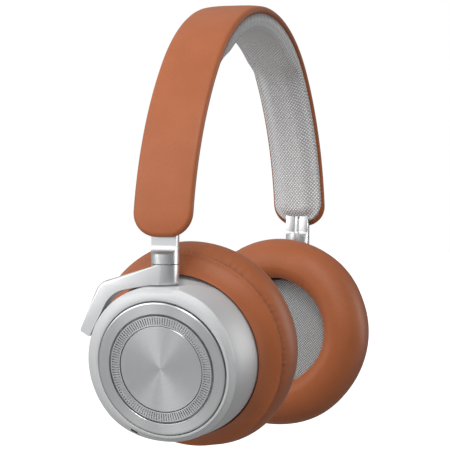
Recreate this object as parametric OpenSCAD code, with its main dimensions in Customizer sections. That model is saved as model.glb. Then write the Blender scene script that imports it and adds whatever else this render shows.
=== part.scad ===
// Over-ear headphones with a leather and fabric headband, curved sliders, one-sided yoke arms
// and round cups. Right is -X, left is +X, the front is -Y, and the arms pass behind the cups.
// The origin is where the headband pad rests on the crown of the head. Millimetres.

/* [Headband] */
// Half the width over the outside of the band, at its spring line
band_a = 88.3; // [80:0.1:100]
// Rise of the band's outside above its spring line
band_b = 111.6; // [100:0.1:125]
// Radius of the crown arc
crown_r = 75; // [66:0.5:78]
// Height of the spring line above the ears' centre
spring_h = 42.85; // [36:0.05:52]
// Width of the band, front to back
band_w = 26.6; // [25.5:0.1:34]
// Radius of the band's lower corners
end_r = 10.5; // [6:0.5:12]
// Thickness of the leather cover's skin
cover_t = 1.5; // [1:0.1:1.8]
// Width of the cover's edge roll
lip_w = 2.2; // [1.5:0.1:2.6]
// Depth of the cover's edge roll
cover_depth = 3.6; // [3.4:0.1:4]
// Depth from the band's outside to the head, at the crown
crown_depth = 12; // [11:0.1:15]
// Depth from the band's outside to the pad's face, at the sides
side_depth = 9.6; // [9.4:0.1:12]
// Depth from the band's outside to the pad's thin edges
edge_depth = 6; // [5:0.1:7]
// Width of the pad's raised middle
pad_mid_w = 17; // [16:0.1:19]

/* [Slider] */
// Radius of the stem
stem_r = 5.85; // [5.2:0.05:6.4]
// Thickness of the tongue that slides in the band
tongue_t = 3; // [2.4:0.1:3.4]
// Width of the tongue
tongue_w = 9.4; // [8:0.1:10]
// Depth of the tongue's middle below the band's outside
tongue_depth = 6.1; // [6:0.05:6.4]
// Stem that shows between the band and the swivel seam
stem_show = 11.2; // [9:0.1:14]
// Angle of the tongue's top end on the side arc
tongue_top = 28.5; // [27:0.5:29]
// Angle of the slide guide's top end
guide_top = 33; // [32.5:0.5:35]
// Gap round a piece that slides
slide_gap = 0.3; // [0.3:0.05:0.4]

/* [Swivel and yoke] */
// Height of the post at the top of the yoke arm
post_h = 8.3; // [7.5:0.1:10]
// Radius of the swivel pin
swivel_r = 2.5; // [2:0.1:3]
// Radial clearance of a pin that turns
pin_gap = 0.06; // [0.03:0.01:0.1]
// Thickness of the yoke arm, from its outer face
arm_t = 6.2; // [5:0.1:6.6]
// Width of the yoke arm's tip
tip_w = 4.9; // [4.6:0.1:6]
// Gap between the arm and the housing
arm_gap = 0.9; // [0.7:0.1:1.4]
// Radius of the tilt pin
tilt_r = 1.3; // [1:0.1:1.5]
// Tilt axis outside the stem's axis
pivot_out = 2.8; // [2.5:0.1:3.2]
// Height of the tilt axis above the ears' centre
pivot_z = 15; // [14:0.1:18]
// Tilt of the right cup as it hangs
tilt_right = 10.2; // [0:0.1:14]
// Tilt of the left cup as it hangs
tilt_left = 4.8; // [0:0.1:14]

/* [Cup] */
// Radius of the housing
housing_r = 34.2; // [33.5:0.1:42]
// Radius of the housing's front shoulder
shoulder_r = 5.6; // [5:0.1:6]
// Housing wall
wall = 1.8; // [1.4:0.1:2]
// Disc face, outwards from the cup's reference plane
face_a = 28.2; // [27:0.1:32]
// Tilt axis, outwards from the reference plane
pivot_a = 20.9; // [20:0.1:21.5]
// Tilt axis above the cup's axis
pivot_w = 15.4; // [14:0.1:17]
// Cup axis in front of the stem
cup_y = -1.5; // [-3:0.1:0]
// Gap between the outer disc and the housing's shoulder
disc_gap = 0.55; // [0.3:0.05:1]
// Slotted ring outer radius
ring_r = 22.4; // [21:0.1:24]
// Centre plate radius
plate_r = 18.3; // [16:0.1:19]
// Number of radial slots
slots = 120; // [60:1:144]

/* [Ear cushion] */
// Cushion outside its seam
cushion_bulge = 3.5; // [2.5:0.1:5]
// Radius of the ear opening
ear_r = 25.7; // [24.6:0.1:27]
// Radius of the cushion's round section
tube_r = 13.7; // [12.5:0.1:15]
// Cushion section's centre, inwards from the reference plane
tube_a = 11.5; // [11:0.1:13]
// Width of the leather skirt, from the housing to the seam
skirt_w = 7.8; // [7:0.1:9]

/* [Sockets and controls] */
// Radius of the jack socket's bore
jack_r = 1.8; // [1.75:0.01:1.9]
// Length of the jack socket
jack_l = 14; // [12:0.5:15]
// Charging socket's opening, wide and high
usb_w = 8.4; // [8.3:0.05:8.6]
usb_h = 2.6; // [2.5:0.05:2.7]
// Radius of the action button
button_r = 2.6; // [2:0.1:3]

/* [Hidden] */
$fn = 72;
fit = 0.1;                    // gap between fixed pieces
big = 200;
rest_h = spring_h + band_b - crown_depth;
side_r = (band_a * band_a + pow(band_b - crown_r, 2) - crown_r * crown_r) / (2 * (band_a - crown_r));
side_x = side_r - band_a;     // centre of a side arc, across the middle plane
tongue_r = side_r - tongue_depth;
stem_x = band_a - tongue_depth;
pivot_x = stem_x + pivot_out;
arm_face = stem_x + stem_r;   // the arm's flat face is tangent to the stem
post_low = pivot_z + housing_r - pivot_w - arm_gap;
swivel_z = post_low + post_h;
band_low = swivel_z + slide_gap + stem_show;
guide_t = 0.5;                // guide wall over and under the tongue
guide_rise = 13.5;            // guide above the band's lower end
guide_side = 1.6;             // guide wall beside the tongue
flange_side = 3.2;
guide_low = band_low + guide_rise;
guide_w = tongue_w + 2 * guide_side;
flange_w = guide_w + 2 * flange_side;
frame_depth = cover_depth - fit;
frame_w = band_w - 2 * lip_w - 2 * fit;
pad_top = cover_depth + 0.2;
pad_flat = 1.8;               // the pad's face is flatter than the band at the crown
tongue_up = tongue_depth - tongue_t / 2;
guide_deep = tongue_depth + tongue_t / 2 + slide_gap + guide_t;
spring_low = spring_h + side_r * sin(guide_top) + 1;
spring_w = 10.2;
spring_t = 0.7;
ribbon_w = 5;
screw_r = 0.7;                // guide screws
screw_hole_r = 0.75;
leaf_w = 4.2;
leaf_t0 = 6;                  // detent leaf, degrees above the guide's lower end
leaf_t1 = 12;
scoop_out_r = 3.7;
scoop_out_z = 4;              // scoops' lowest points above the stem's foot
scoop_in_r = 2.2;
scoop_in_z = 6.2;
groove_y = 1.1;
groove_w = 0.7;
pin_head_r = swivel_r + 1.1;
pin_head_t = 1.1;
pin_top = 4.5;                // swivel pin's length in the stem
washer_t = 0.5;
face_y = cup_y + sqrt(housing_r * housing_r - pivot_w * pivot_w);
arm_in = face_y + arm_gap;
bush_r = tilt_r + 1;
boss_r = bush_r + 1.5;
boss_l = 7;
bush_back = 1.3;              // bush's end inside the housing's face, clear of the arm
rim_a = face_a - 0.6;
floor_a = face_a - 2.8;       // floor of the disc's recess
recess_r = housing_r - shoulder_r;
disc_r = recess_r - disc_gap;
seam_r = housing_r + skirt_w;
cushion_r = seam_r + cushion_bulge;
back_a = 0.9;                 // housing's back rim
baffle_a = -1.6;
baffle_front = -11.8;
plate_back = baffle_a - 0.2;
plate_a = plate_back - 2.4;
cone_r = ear_r - 0.5;
driver_r = cone_r - 4.6;
relief_y0 = -stem_r - 2.6;
tilt_most = 14;                // how far the cup leans out at its stop
relief_bend = 4.4;             // the arm falls from here
relief_y1 = 17;
relief_r = post_low - pivot_z - slide_gap - 0.1;
relief_drop = 2.4;
relief_w = 9;
stem_hidden = 5.5;            // stem above the leather's edge
screw_ring = housing_r - wall - 3;
screw_boss_r = 3.4;           // reaches into the wall
slot_w = 0.45;
slot_deep = 1.2;
control_a = 13;
control_turn = 30;
switch_l = 7;
switch_w = 2.8;
switch_travel = 2;
jack_a = 13;
usb_a = 13;
usb_l = 7.4;
usb_t = 0.35;
port_turn = -62;
port_r = housing_r - 2.6;
port_half = 0.55;
board_a = 18.8;
board_t = 1.2;
board_r = 24;
board_hole_y = 17;
cell = [6.5, 32, 24];         // battery
vent_r = 3.4;                 // holes in the baffle's face
vent_ring = 10;

leather = [0.72, 0.45, 0.31];
knit = [0.74, 0.74, 0.74];
silver = [0.82, 0.82, 0.83];
shell_grey = [0.80, 0.80, 0.81];
steel = [0.62, 0.63, 0.65];
dark = [0.16, 0.16, 0.17];
nylon = [0.30, 0.31, 0.33];
copper = [0.72, 0.47, 0.30];
board_green = [0.12, 0.34, 0.22];

// Angle on the side arc at which radius r reaches height z
function at_height(z, r) = asin((z - spring_h) / r);

// Points of a fillet of radius r at corner q, between the lines from p and to s
function fillet(p, q, s, r, n = 8) = let(
    u = (p - q) / norm(p - q), v = (s - q) / norm(s - q),
    half = acos(u * v) / 2,
    c = q + (u + v) / norm(u + v) * r / sin(half),
    p0 = q + u * r / tan(half) - c,
    p1 = q + v * r / tan(half) - c,
    a0 = atan2(p0[1], p0[0]),
    d = atan2(p1[1], p1[0]) - a0,
    turn = d > 180 ? d - 360 : d < -180 ? d + 360 : d)
    [for (i = [0:n]) c + r * [cos(a0 + turn * i / n), sin(a0 + turn * i / n)]];

module ear_frame() translate([0, 0, -rest_h]) children();

// Draws a left-side piece, or its mirror image for the right side
module side(s) ear_frame() mirror([s < 0 ? 1 : 0, 0, 0]) children();

// Cup frame: X outwards along the cup's axis from its reference plane, Z up
module cup(s) side(s) translate([pivot_x, 0, pivot_z])
    rotate([0, s < 0 ? tilt_right : tilt_left, 0])
    translate([-pivot_a, cup_y, -pivot_w]) children();

// Turns a profile of radius and distance outwards about the cup's axis
module about_cup_axis() rotate([0, 90, 0]) rotate_extrude() children();

// A piece between two distances outwards, from an outline seen from outside
module cup_layer(a0, a1) translate([a0, 0, 0]) rotate([90, 0, 90]) linear_extrude(a1 - a0) children();

module cup_ring(r0, r1, a0, a1) about_cup_axis() translate([r0, a0]) square([r1 - r0, a1 - a0]);

// Area inside the band's arch: a crown arc that runs smoothly into two side arcs
module arch_area(a, b, r1) {
    r2 = (a * a + pow(b - r1, 2) - r1 * r1) / (2 * (a - r1));
    join_z = (b - r1) * r2 / (r2 - r1);
    translate([0, b - r1]) circle(r1);
    intersection() {
        translate([a - r2, 0]) circle(r2);
        translate([r2 - a, 0]) circle(r2);
        translate([-a, 0]) square([2 * a, join_z]);
    }
}

// A layer of the band between two depths, width w
module band_layer(d0, d1, w) translate([0, 0, spring_h]) rotate([90, 0, 0])
    linear_extrude(w, center = true) difference() {
        arch_area(band_a - d0, band_b - d0, crown_r - d0);
        arch_area(band_a - d1, band_b - d1, crown_r - d1);
    }

// Everything above a height, with rounded lower corners of radius r
module rounded_ends(w, low, r) rotate([90, 0, 90]) linear_extrude(2 * band_a + 4, center = true) {
    translate([-w / 2, low + r]) square([w, big]);
    translate([r - w / 2, low]) square([w - 2 * r, big]);
    for (y = [r - w / 2, w / 2 - r]) translate([y, low + r]) circle(r);
}

module above(z) translate([-big, -big, z]) cube([2 * big, 2 * big, 2 * big]);

// A strip on the left side arc between two radii and two angles
module side_arc(r0, r1, w, t0, t1) translate([-side_x, 0, spring_h]) rotate([0, -t0, 0])
    rotate([90, 0, 0]) rotate_extrude(angle = t1 - t0) translate([r0, -w / 2]) square([r1 - r0, w]);

// Leather cover: a skin with a rolled edge on both sides
module band_cover() color(leather) ear_frame() difference() {
    intersection() {
        band_layer(0, cover_depth, band_w);
        rounded_ends(band_w, band_low, end_r);
    }
    intersection() {
        band_layer(cover_t, cover_depth + 1, band_w - 2 * lip_w);
        rounded_ends(band_w - 2 * lip_w, band_low + lip_w, end_r - lip_w);
    }
}

module band_frame() color(nylon) ear_frame() difference() {
    intersection() {
        band_layer(cover_t + fit, frame_depth, frame_w);
        rounded_ends(frame_w, band_low + lip_w + fit, end_r - lip_w - fit);
    }
    intersection() {
        band_layer(frame_depth - spring_t - fit, frame_depth + 1, spring_w + 2 * fit);
        above(spring_low - fit);
    }
    for (s = [-1, 1]) mirror([s < 0 ? 1 : 0, 0, 0]) guide_screw_places() cylinder(r = screw_hole_r, h = 4);
}

module spring_band() color(steel) ear_frame() intersection() {
    band_layer(frame_depth - spring_t - fit / 2, frame_depth - fit / 2, spring_w);
    above(spring_low);
}

module band_ribbon() color(copper) ear_frame() intersection() {
    band_layer(frame_depth + fit / 2, pad_top - fit / 2, ribbon_w);
    above(spring_low);
}

// Foam pad in knitted fabric: thin edges, a raised middle, and a pocket at each end for the guide
module band_pad() color(knit) ear_frame() difference() {
    intersection() {
        translate([0, 0, spring_h]) rotate([90, 0, 0]) linear_extrude(band_w - 2, center = true) difference() {
            arch_area(band_a - pad_top, band_b - pad_top, crown_r - pad_top);
            arch_area(band_a - side_depth, band_b - crown_depth, crown_r - crown_depth + pad_flat);
        }
        rounded_ends(band_w - 2, band_low + 1.5, end_r - 1);
    }
    for (y = [-1, 1]) translate([0, y * (pad_mid_w / 2 + big / 2), spring_h]) rotate([90, 0, 0])
        linear_extrude(big, center = true)
            arch_area(band_a - edge_depth, band_b - edge_depth, crown_r - edge_depth);
    for (s = [-1, 1]) mirror([s < 0 ? 1 : 0, 0, 0]) {
        side_arc(side_r - guide_deep - fit, side_r, guide_w + 2 * fit, 0, guide_top + 0.2);
        side_arc(side_r - tongue_up + slide_gap - fit, side_r, flange_w + 2 * fit, 0, guide_top + 0.2);
    }
}

// Slide guide: a channel for the tongue, with a flange screwed to the frame
module slide_guide(s) color(dark) side(s) {
    t0 = at_height(guide_low, tongue_r);
    difference() {
        union() {
            side_arc(side_r - guide_deep, side_r - pad_top, guide_w, t0, guide_top);
            side_arc(side_r - tongue_up + slide_gap, side_r - pad_top, flange_w, t0, guide_top);
        }
        side_arc(tongue_r - tongue_t / 2 - slide_gap, tongue_r + tongue_t / 2 + slide_gap,
                 tongue_w + 2 * slide_gap, t0 - 1, guide_top - 0.6);
        side_arc(side_r - tongue_up, side_r, leaf_w + 2 * fit, t0 + leaf_t0 - 0.2, t0 + leaf_t1 + 0.2);
        guide_screw_places() translate([0, 0, -1]) cylinder(r = screw_hole_r, h = 6);
    }
}

// Places of the four guide screws on the left arc, their axes pointing outwards
module guide_screw_places() for (t = [at_height(guide_low, tongue_r) + 2, guide_top - 2], y = [-1, 1])
    translate([-side_x, 0, spring_h]) rotate([0, 90 - t, 0])
        translate([0, y * (guide_w + flange_w) / 4, side_r - tongue_up + slide_gap]) children();

module guide_screws(s) color(steel) side(s) guide_screw_places()
    translate([0, 0, fit / 2]) cylinder(r = screw_r, h = 1.8);

module detent_leaf(s) color(steel) side(s)
    side_arc(side_r - tongue_up + slide_gap + fit / 2, side_r - pad_top - fit / 2, leaf_w,
             at_height(guide_low, tongue_r) + leaf_t0, at_height(guide_low, tongue_r) + leaf_t1);

// Stem with a milled scoop on both faces, and the curved tongue above it
module slider_stem(s) color(silver) side(s) {
    foot = swivel_z + slide_gap;
    out_r = tongue_r + tongue_t / 2;
    in_r = tongue_r - tongue_t / 2;
    above_out = at_height(foot + scoop_out_z + scoop_out_r - fit, tongue_r);
    above_in = at_height(foot + scoop_in_z + scoop_in_r - fit, tongue_r);
    grooves_from = at_height(foot + scoop_in_z + 0.4, tongue_r);
    difference() {
        union() {
            side_arc(in_r, out_r, tongue_w, at_height(foot + 3, tongue_r), tongue_top);
            translate([stem_x, 0, foot]) cylinder(r = stem_r, h = stem_show + stem_hidden);
        }
        scoop(foot + scoop_out_z, scoop_out_r, 1);
        scoop(foot + scoop_in_z, scoop_in_r, -1);
        side_arc(out_r, out_r + 2 * stem_r, 3 * stem_r, above_out, guide_top);
        side_arc(in_r - 2 * stem_r, in_r, 3 * stem_r, above_in, guide_top);
        for (y = [-groove_y, groove_y]) translate([0, y, 0])
            side_arc(in_r - 1, in_r + groove_w, groove_w, grooves_from, tongue_top + 1);
        translate([stem_x, 0, foot - 1]) cylinder(r = swivel_r + 0.05, h = pin_top + 1.05);
        translate([stem_x, 0, foot - 1]) cylinder(r = stem_r - 1.2, h = washer_t + 1);
    }
}

// Round lower end of a scoop: radius r, lowest at height z, on the outer or inner face
module scoop(z, r, face) translate([stem_x + face * (tongue_t / 2 + r), 0, z + r])
    rotate([90, 0, 0]) cylinder(r = r, h = 3 * stem_r, center = true);

module swivel_pin(s) color(steel) side(s) translate([stem_x, 0, 0]) {
    head_z = post_low + 0.7;
    translate([0, 0, head_z]) cylinder(r = pin_head_r, h = pin_head_t);
    translate([0, 0, head_z]) cylinder(r = swivel_r, h = swivel_z + slide_gap + pin_top - head_z);
}

module swivel_washer(s) color(nylon) side(s) translate([stem_x, 0, swivel_z + slide_gap])
    difference() {
        cylinder(r = stem_r - 1.3, h = washer_t);
        translate([0, 0, -1]) cylinder(r = swivel_r + 0.05, h = washer_t + 2);
    }

// Side view of the arm, from the post round to the tip: Y, then height
function arm_outline() = let(
    top = swivel_z,
    out_elbow = [arm_in - 2.2, post_low + 0.4],
    in_elbow = [arm_in - 8, post_low - 3.5],
    in_tip = [arm_in + 1.8, pivot_z - 4.6],
    out_tip = in_tip + tip_w * [0.87, 0.49],
    start = [0, top], low = [0, post_low])
    concat([start, [3, top - 0.6]], fillet([3, top - 0.6], out_elbow, out_tip, 7.5), [out_tip, in_tip],
           fillet(in_tip, in_elbow, [4.4, post_low], 12.5), [[4.4, post_low], low]);

// Yoke arm: the post at the stem's foot and the arm that curves round the housing
module yoke_arm(s) color(silver) side(s) difference() {
    union() {
        translate([stem_x, 0, post_low]) cylinder(r = stem_r, h = post_h);
        translate([arm_face - arm_t, 0, 0]) rotate([90, 0, 90]) linear_extrude(arm_t) polygon(arm_outline());
    }
    translate([stem_x, 0, post_low - 1]) cylinder(r = swivel_r + pin_gap, h = post_h + 2);
    translate([stem_x, 0, post_low - 1]) cylinder(r = pin_head_r + slide_gap, h = pin_head_t + 2);
    tilt_axis_at(arm_in - 9) cylinder(r = tilt_r + 0.03, h = 30);
    tilt_axis_at(arm_in + 3.4) cylinder(r = tilt_r + 0.75, h = 20);
    translate([pivot_x, 0, pivot_z]) rotate([0, tilt_most, 0]) translate([-pivot_a, cup_y, -pivot_w])
        intersection() {
            rotate([0, 90, 0]) cylinder(r = housing_r + slide_gap + 0.05, h = rim_a - shoulder_r);
            translate([-big, -big, pivot_w + relief_w - 2 * big]) cube(2 * big);
        }
}

// The tilt axis in the side frame, starting at y and running backwards
module tilt_axis_at(y) translate([pivot_x, y, pivot_z]) rotate([-90, 0, 0]) children();

module tilt_pin(s) color(steel) side(s) {
    tilt_axis_at(face_y - boss_l + 0.6) cylinder(r = tilt_r, h = arm_in + 3.4 - face_y + boss_l - 0.6);
    tilt_axis_at(arm_in + 3.4) cylinder(r = tilt_r + 0.7, h = 0.9);
}

// Outline of half the housing's section: radius, then distance outwards
module housing_section(r, a0, a1, corner) {
    translate([0, a0]) square([r, a1 - corner - a0]);
    translate([0, a0]) square([r - corner, a1 - a0]);
    translate([r - corner, a1 - corner]) circle(corner);
}

// Room for the post and the arm: everything beyond a radius about the tilt axis, over the cup's top
module arm_relief(more) intersection() {
    translate([pivot_a, -cup_y, pivot_w]) rotate([-90, 0, 0]) rotate_extrude() polygon([
        [relief_r - more, relief_y0 - more], [relief_r - more, relief_bend],
        [relief_r - relief_drop - more, relief_y1 + more],
        [big, relief_y1 + more], [big, relief_y0 - more]]);
    translate([-big, -big, pivot_w + relief_w]) cube(2 * big);
}

module housing(s) color(shell_grey) cup(s) difference() {
    union() {
        difference() {
            about_cup_axis() housing_section(housing_r, back_a, rim_a, shoulder_r);
            difference() {
                about_cup_axis() housing_section(housing_r - wall, back_a - 1, floor_a - wall + 0.2, 3.8);
                arm_relief(wall);
            }
        }
        intersection() {
            about_cup_axis() housing_section(housing_r - 0.5, back_a, rim_a, shoulder_r);
            union() {
                translate([pivot_a, face_y - cup_y - boss_l, pivot_w]) rotate([-90, 0, 0])
                    cylinder(r = boss_r, h = boss_l + 4);
                for (t = [45:90:315]) rotate([t, 0, 0]) translate([back_a, 0, screw_ring]) rotate([0, 90, 0])
                    cylinder(r = screw_boss_r, h = 9);
            }
        }
    }
    arm_relief(0);
    cup_ring(0, recess_r, floor_a, face_a + 9);
    translate([pivot_a, face_y - cup_y - boss_l - 1, pivot_w]) rotate([-90, 0, 0])
        cylinder(r = bush_r + 0.05, h = boss_l + 9);
    for (t = [45:90:315]) rotate([t, 0, 0]) translate([back_a - 1, 0, screw_ring]) rotate([0, 90, 0])
        cylinder(r = 0.95, h = 8);
    rotate([port_turn, 0, 0]) port_shape(0.05, floor_a - 2.9, face_a);
    if (s < 0) {
        translate([usb_a, 0, -housing_r])
            cube([usb_h + 2 * usb_t + 0.1, usb_w + 2 * usb_t + 0.1, 12], center = true);
        rotate([-control_turn, 0, 0]) translate([control_a, housing_r - wall, 0])
            cube([switch_l + switch_travel + 0.8, 2 * wall + 4, switch_w + 0.8], center = true);
    } else {
        translate([jack_a, 0, -housing_r - 1]) cylinder(r = jack_r + 1.65, h = 7);
        rotate([-control_turn, 0, 0]) translate([control_a, housing_r - 4, 0]) rotate([-90, 0, 0])
            cylinder(r = button_r + slide_gap, h = 9);
    }
}

// A slot with round ends, in the shoulder
module port_shape(gap, a0, a1) cup_layer(a0, a1) translate([port_r, 0]) {
    for (z = [-2, 2]) translate([0, z]) circle(port_half + gap);
    square([2 * (port_half + gap), 4], center = true);
}

module mic_port(s) color(dark) cup(s) rotate([port_turn, 0, 0]) port_shape(0, floor_a - 2.8, rim_a - 1.6);

module outer_disc(s) color(silver) cup(s) cup_ring(ring_r + fit, disc_r, floor_a + fit, face_a);

// Ring with radial slots cut into its face
module slot_ring(s) color(steel) cup(s) {
    cup_ring(plate_r + fit, ring_r, floor_a + fit, face_a - slot_deep);
    cup_layer(face_a - slot_deep, face_a) difference() {
        circle(ring_r);
        circle(plate_r + fit);
        for (i = [0:slots - 1]) rotate(i * 360 / slots)
            translate([plate_r + 0.6, -slot_w / 2]) square([ring_r - plate_r - 1, slot_w]);
    }
}

module touch_plate(s) color(silver) cup(s) cup_ring(0, plate_r, floor_a + fit, face_a - 0.05);

module tilt_bush(s) color(nylon) cup(s) translate([pivot_a, face_y - cup_y - boss_l, pivot_w])
    rotate([-90, 0, 0]) difference() {
        cylinder(r = bush_r, h = boss_l - bush_back);
        translate([0, 0, -1]) cylinder(r = tilt_r + pin_gap, h = boss_l + 2);
    }

module circuit_board(s) color(board_green) cup(s) cup_layer(board_a, board_a + board_t) difference() {
    circle(board_r);
    for (y = [-board_hole_y, board_hole_y]) translate([y, 0]) circle(1.2);
}

module battery() color(nylon) cup(1) translate([6, -cell[1] / 2, -13]) cube(cell);

// Baffle: a flange under the housing and a dished middle that carries the driver behind the cloth
module baffle(s) color(nylon) cup(s) difference() {
    union() {
        cup_ring(cone_r - wall, housing_r - 0.1, baffle_a, back_a - fit);
        cup_ring(cone_r - wall, cone_r, baffle_front, baffle_a + 0.1);
        cup_ring(0, cone_r, baffle_front, baffle_front + 1.6);
    }
    for (t = [0:60:300]) rotate([t, 0, 0]) translate([baffle_front - 1, 0, vent_ring]) rotate([0, 90, 0])
        cylinder(r = vent_r, h = 4);
    translate([baffle_front - 1, 0, 0]) rotate([0, 90, 0]) cylinder(r = 4.5, h = 4);
    for (t = [45:90:315]) rotate([t, 0, 0]) translate([baffle_a - 1, 0, screw_ring]) rotate([0, 90, 0])
        cylinder(r = 1.1, h = 8);
}

module baffle_screws(s) color(steel) cup(s) for (t = [45:90:315]) rotate([t, 0, 0])
    translate([baffle_a + 0.1, 0, screw_ring]) rotate([0, 90, 0]) cylinder(r = 0.9, h = 7.5);

module driver_frame(s) color(dark) cup(s) {
    front = baffle_front + 1.7;
    cup_ring(driver_r - 2.5, driver_r, front, front + 4);
    cup_ring(8.1, driver_r, front + 4, front + 5.4);
}

module driver_diaphragm(s) color(copper) cup(s)
    cup_ring(0, driver_r - 2.7, baffle_front + 2.3, baffle_front + 2.7);

module driver_magnet(s) color(steel) cup(s) {
    back = baffle_front + 7.2;
    cup_ring(0, 12.5, back, back + 6);
    cup_ring(0, 7.9, back - 3.6, back);
}

module speaker_cloth(s) color(knit) cup(s) cup_ring(0, cone_r - 0.1, baffle_front - 0.7, baffle_front - fit);

module cushion_plate(s) color(nylon) cup(s) cup_ring(ear_r + 0.3, seam_r - 1, plate_a, plate_back);

// Leather back skirt, a cone from the cushion's seam to the housing
module cushion_skirt(s) color(leather) cup(s) about_cup_axis() polygon([
    [housing_r + 0.25, baffle_a - 0.1], [housing_r + 0.25, 6.2], [housing_r + 1, 6.6],
    [seam_r, -0.6], [seam_r, baffle_a - 0.1]]);

// Ear cushion: a round section, flat where it sits on its plate
module cushion_pad(s) color(leather) cup(s) about_cup_axis() difference() {
    translate([cushion_r - tube_r, -tube_a]) circle(tube_r);
    translate([0, -big]) square([ear_r, 2 * big]);
    translate([0, plate_a - fit]) square([seam_r - 0.9, big]);
    translate([0, plate_back]) square([big, big]);
}

module charge_socket() color(steel) cup(-1) translate([usb_a, 0, 0.4 - housing_r])
    linear_extrude(usb_l) difference() {
        square([usb_h + 2 * usb_t, usb_w + 2 * usb_t], center = true);
        square([usb_h, usb_w], center = true);
    }

module jack_socket() color(dark) cup(1) translate([jack_a, 0, 0.3 - housing_r]) difference() {
    cylinder(r = jack_r + 1.6, h = jack_l);
    translate([0, 0, -1]) cylinder(r = jack_r, h = jack_l + 2);
}

// Power slide: a knob on the cup's rear, moving along the cup's axis
module power_slide() color(dark) cup(-1) rotate([-control_turn, 0, 0])
    translate([control_a - switch_travel / 2, housing_r - 0.6, 0])
        cube([switch_l - 0.4, 2.2, switch_w], center = true);

module action_button() color(silver) cup(1) rotate([-control_turn, 0, 0])
    translate([control_a, housing_r - 3, 0]) rotate([-90, 0, 0]) cylinder(r = button_r, h = 3.6);

band_cover();
band_frame();
spring_band();
band_ribbon();
band_pad();
slide_guide(-1);  // slide_guide_right
slide_guide(1);  // slide_guide_left
detent_leaf(-1);  // detent_leaf_right
detent_leaf(1);  // detent_leaf_left
guide_screws(-1);  // guide_screws_right
guide_screws(1);  // guide_screws_left
slider_stem(-1);  // slider_stem_right
slider_stem(1);  // slider_stem_left
swivel_pin(-1);  // swivel_pin_right
swivel_pin(1);  // swivel_pin_left
swivel_washer(-1);  // swivel_washer_right
swivel_washer(1);  // swivel_washer_left
yoke_arm(-1);  // yoke_arm_right
yoke_arm(1);  // yoke_arm_left
tilt_pin(-1);  // tilt_pin_right
tilt_pin(1);  // tilt_pin_left
housing(-1);  // housing_right
housing(1);  // housing_left
outer_disc(-1);  // outer_disc_right
outer_disc(1);  // outer_disc_left
slot_ring(-1);  // slot_ring_right
slot_ring(1);  // slot_ring_left
touch_plate(-1);  // touch_plate_right
touch_plate(1);  // touch_plate_left
tilt_bush(-1);  // tilt_bush_right
tilt_bush(1);  // tilt_bush_left
mic_port(-1);  // mic_port_right
mic_port(1);  // mic_port_left
circuit_board(-1);  // circuit_board_right
circuit_board(1);  // circuit_board_left
battery();
baffle(-1);  // baffle_right
baffle(1);  // baffle_left
baffle_screws(-1);  // baffle_screws_right
baffle_screws(1);  // baffle_screws_left
driver_frame(-1);  // driver_frame_right
driver_frame(1);  // driver_frame_left
driver_magnet(-1);  // driver_magnet_right
driver_magnet(1);  // driver_magnet_left
driver_diaphragm(-1);  // driver_diaphragm_right
driver_diaphragm(1);  // driver_diaphragm_left
speaker_cloth(-1);  // speaker_cloth_right
speaker_cloth(1);  // speaker_cloth_left
cushion_plate(-1);  // cushion_plate_right
cushion_plate(1);  // cushion_plate_left
cushion_skirt(-1);  // cushion_skirt_right
cushion_skirt(1);  // cushion_skirt_left
cushion_pad(-1);  // cushion_pad_right
cushion_pad(1);  // cushion_pad_left
charge_socket();
power_slide();
jack_socket();
action_button();
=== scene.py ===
# Over-ear headphones: a leather and knit headband on curved aluminium sliders, one-sided yoke arms,
# and round cups with a turned aluminium disc and leather ear cushions.
import math

import bmesh
import bpy
from mathutils import Matrix, Vector


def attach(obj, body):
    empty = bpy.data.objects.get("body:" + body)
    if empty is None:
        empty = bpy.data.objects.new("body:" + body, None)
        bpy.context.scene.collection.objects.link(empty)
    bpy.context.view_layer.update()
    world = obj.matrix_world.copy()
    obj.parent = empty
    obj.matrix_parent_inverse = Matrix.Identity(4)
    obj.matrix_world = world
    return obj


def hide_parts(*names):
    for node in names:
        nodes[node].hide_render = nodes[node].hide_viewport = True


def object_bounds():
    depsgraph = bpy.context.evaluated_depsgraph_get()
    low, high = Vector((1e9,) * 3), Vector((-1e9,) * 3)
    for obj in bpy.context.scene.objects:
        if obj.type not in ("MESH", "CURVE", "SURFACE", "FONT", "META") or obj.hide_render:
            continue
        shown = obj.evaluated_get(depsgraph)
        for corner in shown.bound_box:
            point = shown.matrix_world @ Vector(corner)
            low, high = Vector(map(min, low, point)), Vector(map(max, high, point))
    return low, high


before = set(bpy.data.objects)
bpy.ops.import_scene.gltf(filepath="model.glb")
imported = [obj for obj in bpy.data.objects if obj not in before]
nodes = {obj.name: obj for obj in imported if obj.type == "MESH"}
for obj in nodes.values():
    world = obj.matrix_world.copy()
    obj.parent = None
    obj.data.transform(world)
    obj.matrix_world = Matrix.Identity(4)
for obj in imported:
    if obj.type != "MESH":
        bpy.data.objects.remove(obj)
cad_box = [list(corner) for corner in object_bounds()]
mm = 0.001

# ---- The studio -------------------------------------------------------------------------------
# A long lens at the height of the lower headband, a white sweep, and soft boxes: a large one high
# on the left, a weak one on the right, and a white floor that fills the undersides.
look = Vector((0.92854, 0.36982, -0.03233)).normalized()
roll = math.radians(0.45)
eye = Vector((-739.5, -288.2, -61.65)) * mm
level = look.cross(Vector((0, 0, 1))).normalized()
upright = level.cross(look)
right = level * math.cos(roll) + upright * math.sin(roll)
up = right.cross(look)
lens = bpy.data.cameras.new("camera")
lens.lens = 139.5
lens.sensor_width = 36
lens.clip_start, lens.clip_end = 0.05, 20
camera = bpy.data.objects.new("camera", lens)
camera.matrix_world = Matrix.Translation(eye) @ Matrix((right, up, -look)).transposed().to_4x4()
bpy.context.scene.collection.objects.link(camera)
bpy.context.scene.camera = camera
bpy.context.scene.view_settings.view_transform = "Standard"


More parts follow.
